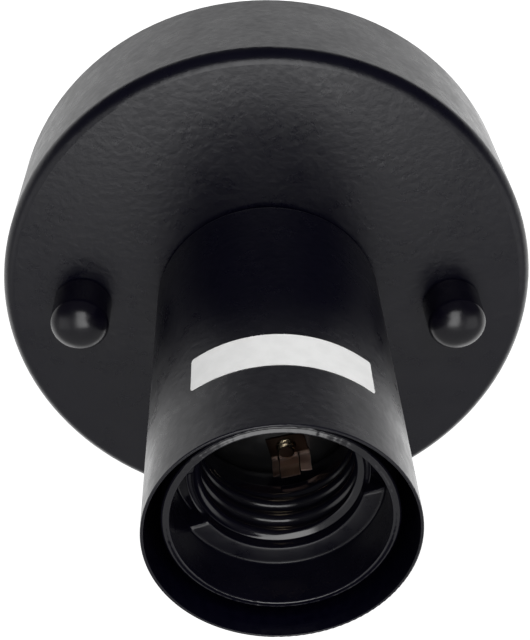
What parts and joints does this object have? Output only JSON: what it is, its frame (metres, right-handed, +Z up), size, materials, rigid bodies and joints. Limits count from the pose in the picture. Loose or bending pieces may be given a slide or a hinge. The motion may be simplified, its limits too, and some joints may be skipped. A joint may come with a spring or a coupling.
{
  "type": "batten lamp holder",
  "caption": "Round black ceiling lamp holder: a shallow pressed canopy held by dome nuts, with a straight sleeve around a screw-thread lampholder.",
  "frame": {"origin": "centre of the ceiling plane, on the fitting's axis, midway between the bracket's two screw slots", "axes": "+Z up into the ceiling along the lampholder's axis, +X from the left dome nut to the right one, -Y towards the label"},
  "size_m": [0.1, 0.1, 0.0915],
  "materials": {
    "black_coat": "satin black powder coat",
    "nut_black": "satin black coat",
    "holder_plastic": "moulded black",
    "carrier_plastic": "moulded black",
    "brass": "plain",
    "bronze": "rolled phosphor bronze",
    "zinc_steel": "zinc plated",
    "spring_steel": "drawn wire",
    "tinned_copper": "tinned",
    "wire_brown": "extruded",
    "wire_blue": "extruded",
    "wire_green": "extruded, yellow stripe",
    "block_plastic": "moulded",
    "label_paper": "satin"
  },
  "bodies": {
    "fitting": {"canopy": "black_coat", "lamp_sleeve": "black_coat", "mounting_bracket": "zinc_steel", "bracket_studs": "zinc_steel", "stud_lock_nuts": "zinc_steel", "threaded_nipple": "zinc_steel", "nipple_lock_washer": "zinc_steel", "nipple_nut": "zinc_steel", "holder_cap": "holder_plastic", "cap_grub_screw": "zinc_steel", "holder_shell": "holder_plastic", "contact_carrier": "carrier_plastic", "contact_spring": "spring_steel", "live_terminal": "brass", "live_terminal_screw": "brass", "neutral_terminal": "brass", "neutral_terminal_screw": "brass", "side_contact": "bronze", "clamp_washers": "zinc_steel", "live_lead": "wire_brown", "neutral_lead": "wire_blue", "earth_lead": "wire_green", "earth_tag": "tinned_copper", "earth_star_washer": "zinc_steel", "earth_screw": "brass", "terminal_block": "block_plastic", "block_inserts": "brass", "block_screws": "zinc_steel", "rating_label": "label_paper"},
    "left_nut": {"dome_nut_left": "nut_black"},
    "right_nut": {"dome_nut_right": "nut_black"},
    "plunger": {"centre_contact": "brass", "contact_retainer": "spring_steel"}
  },
  "joints": [
    {"name": "left_nut_turn", "type": "hinge", "parent": "fitting", "child": "left_nut", "pos_m": [-0.035, 0, -0.0305], "axis": [0, 0, 1], "continuous": true},
    {"name": "right_nut_turn", "type": "hinge", "parent": "fitting", "child": "right_nut", "pos_m": [0.035, 0, -0.0305], "axis": [0, 0, 1], "continuous": true},
    {"name": "centre_contact_press", "type": "slide", "parent": "fitting", "child": "plunger", "axis": [0, 0, 1], "range_m": [0, 0.002], "stiffness_N_per_m": 1500, "springref_m": -0.002, "deforming": ["contact_spring"]}
  ]
}
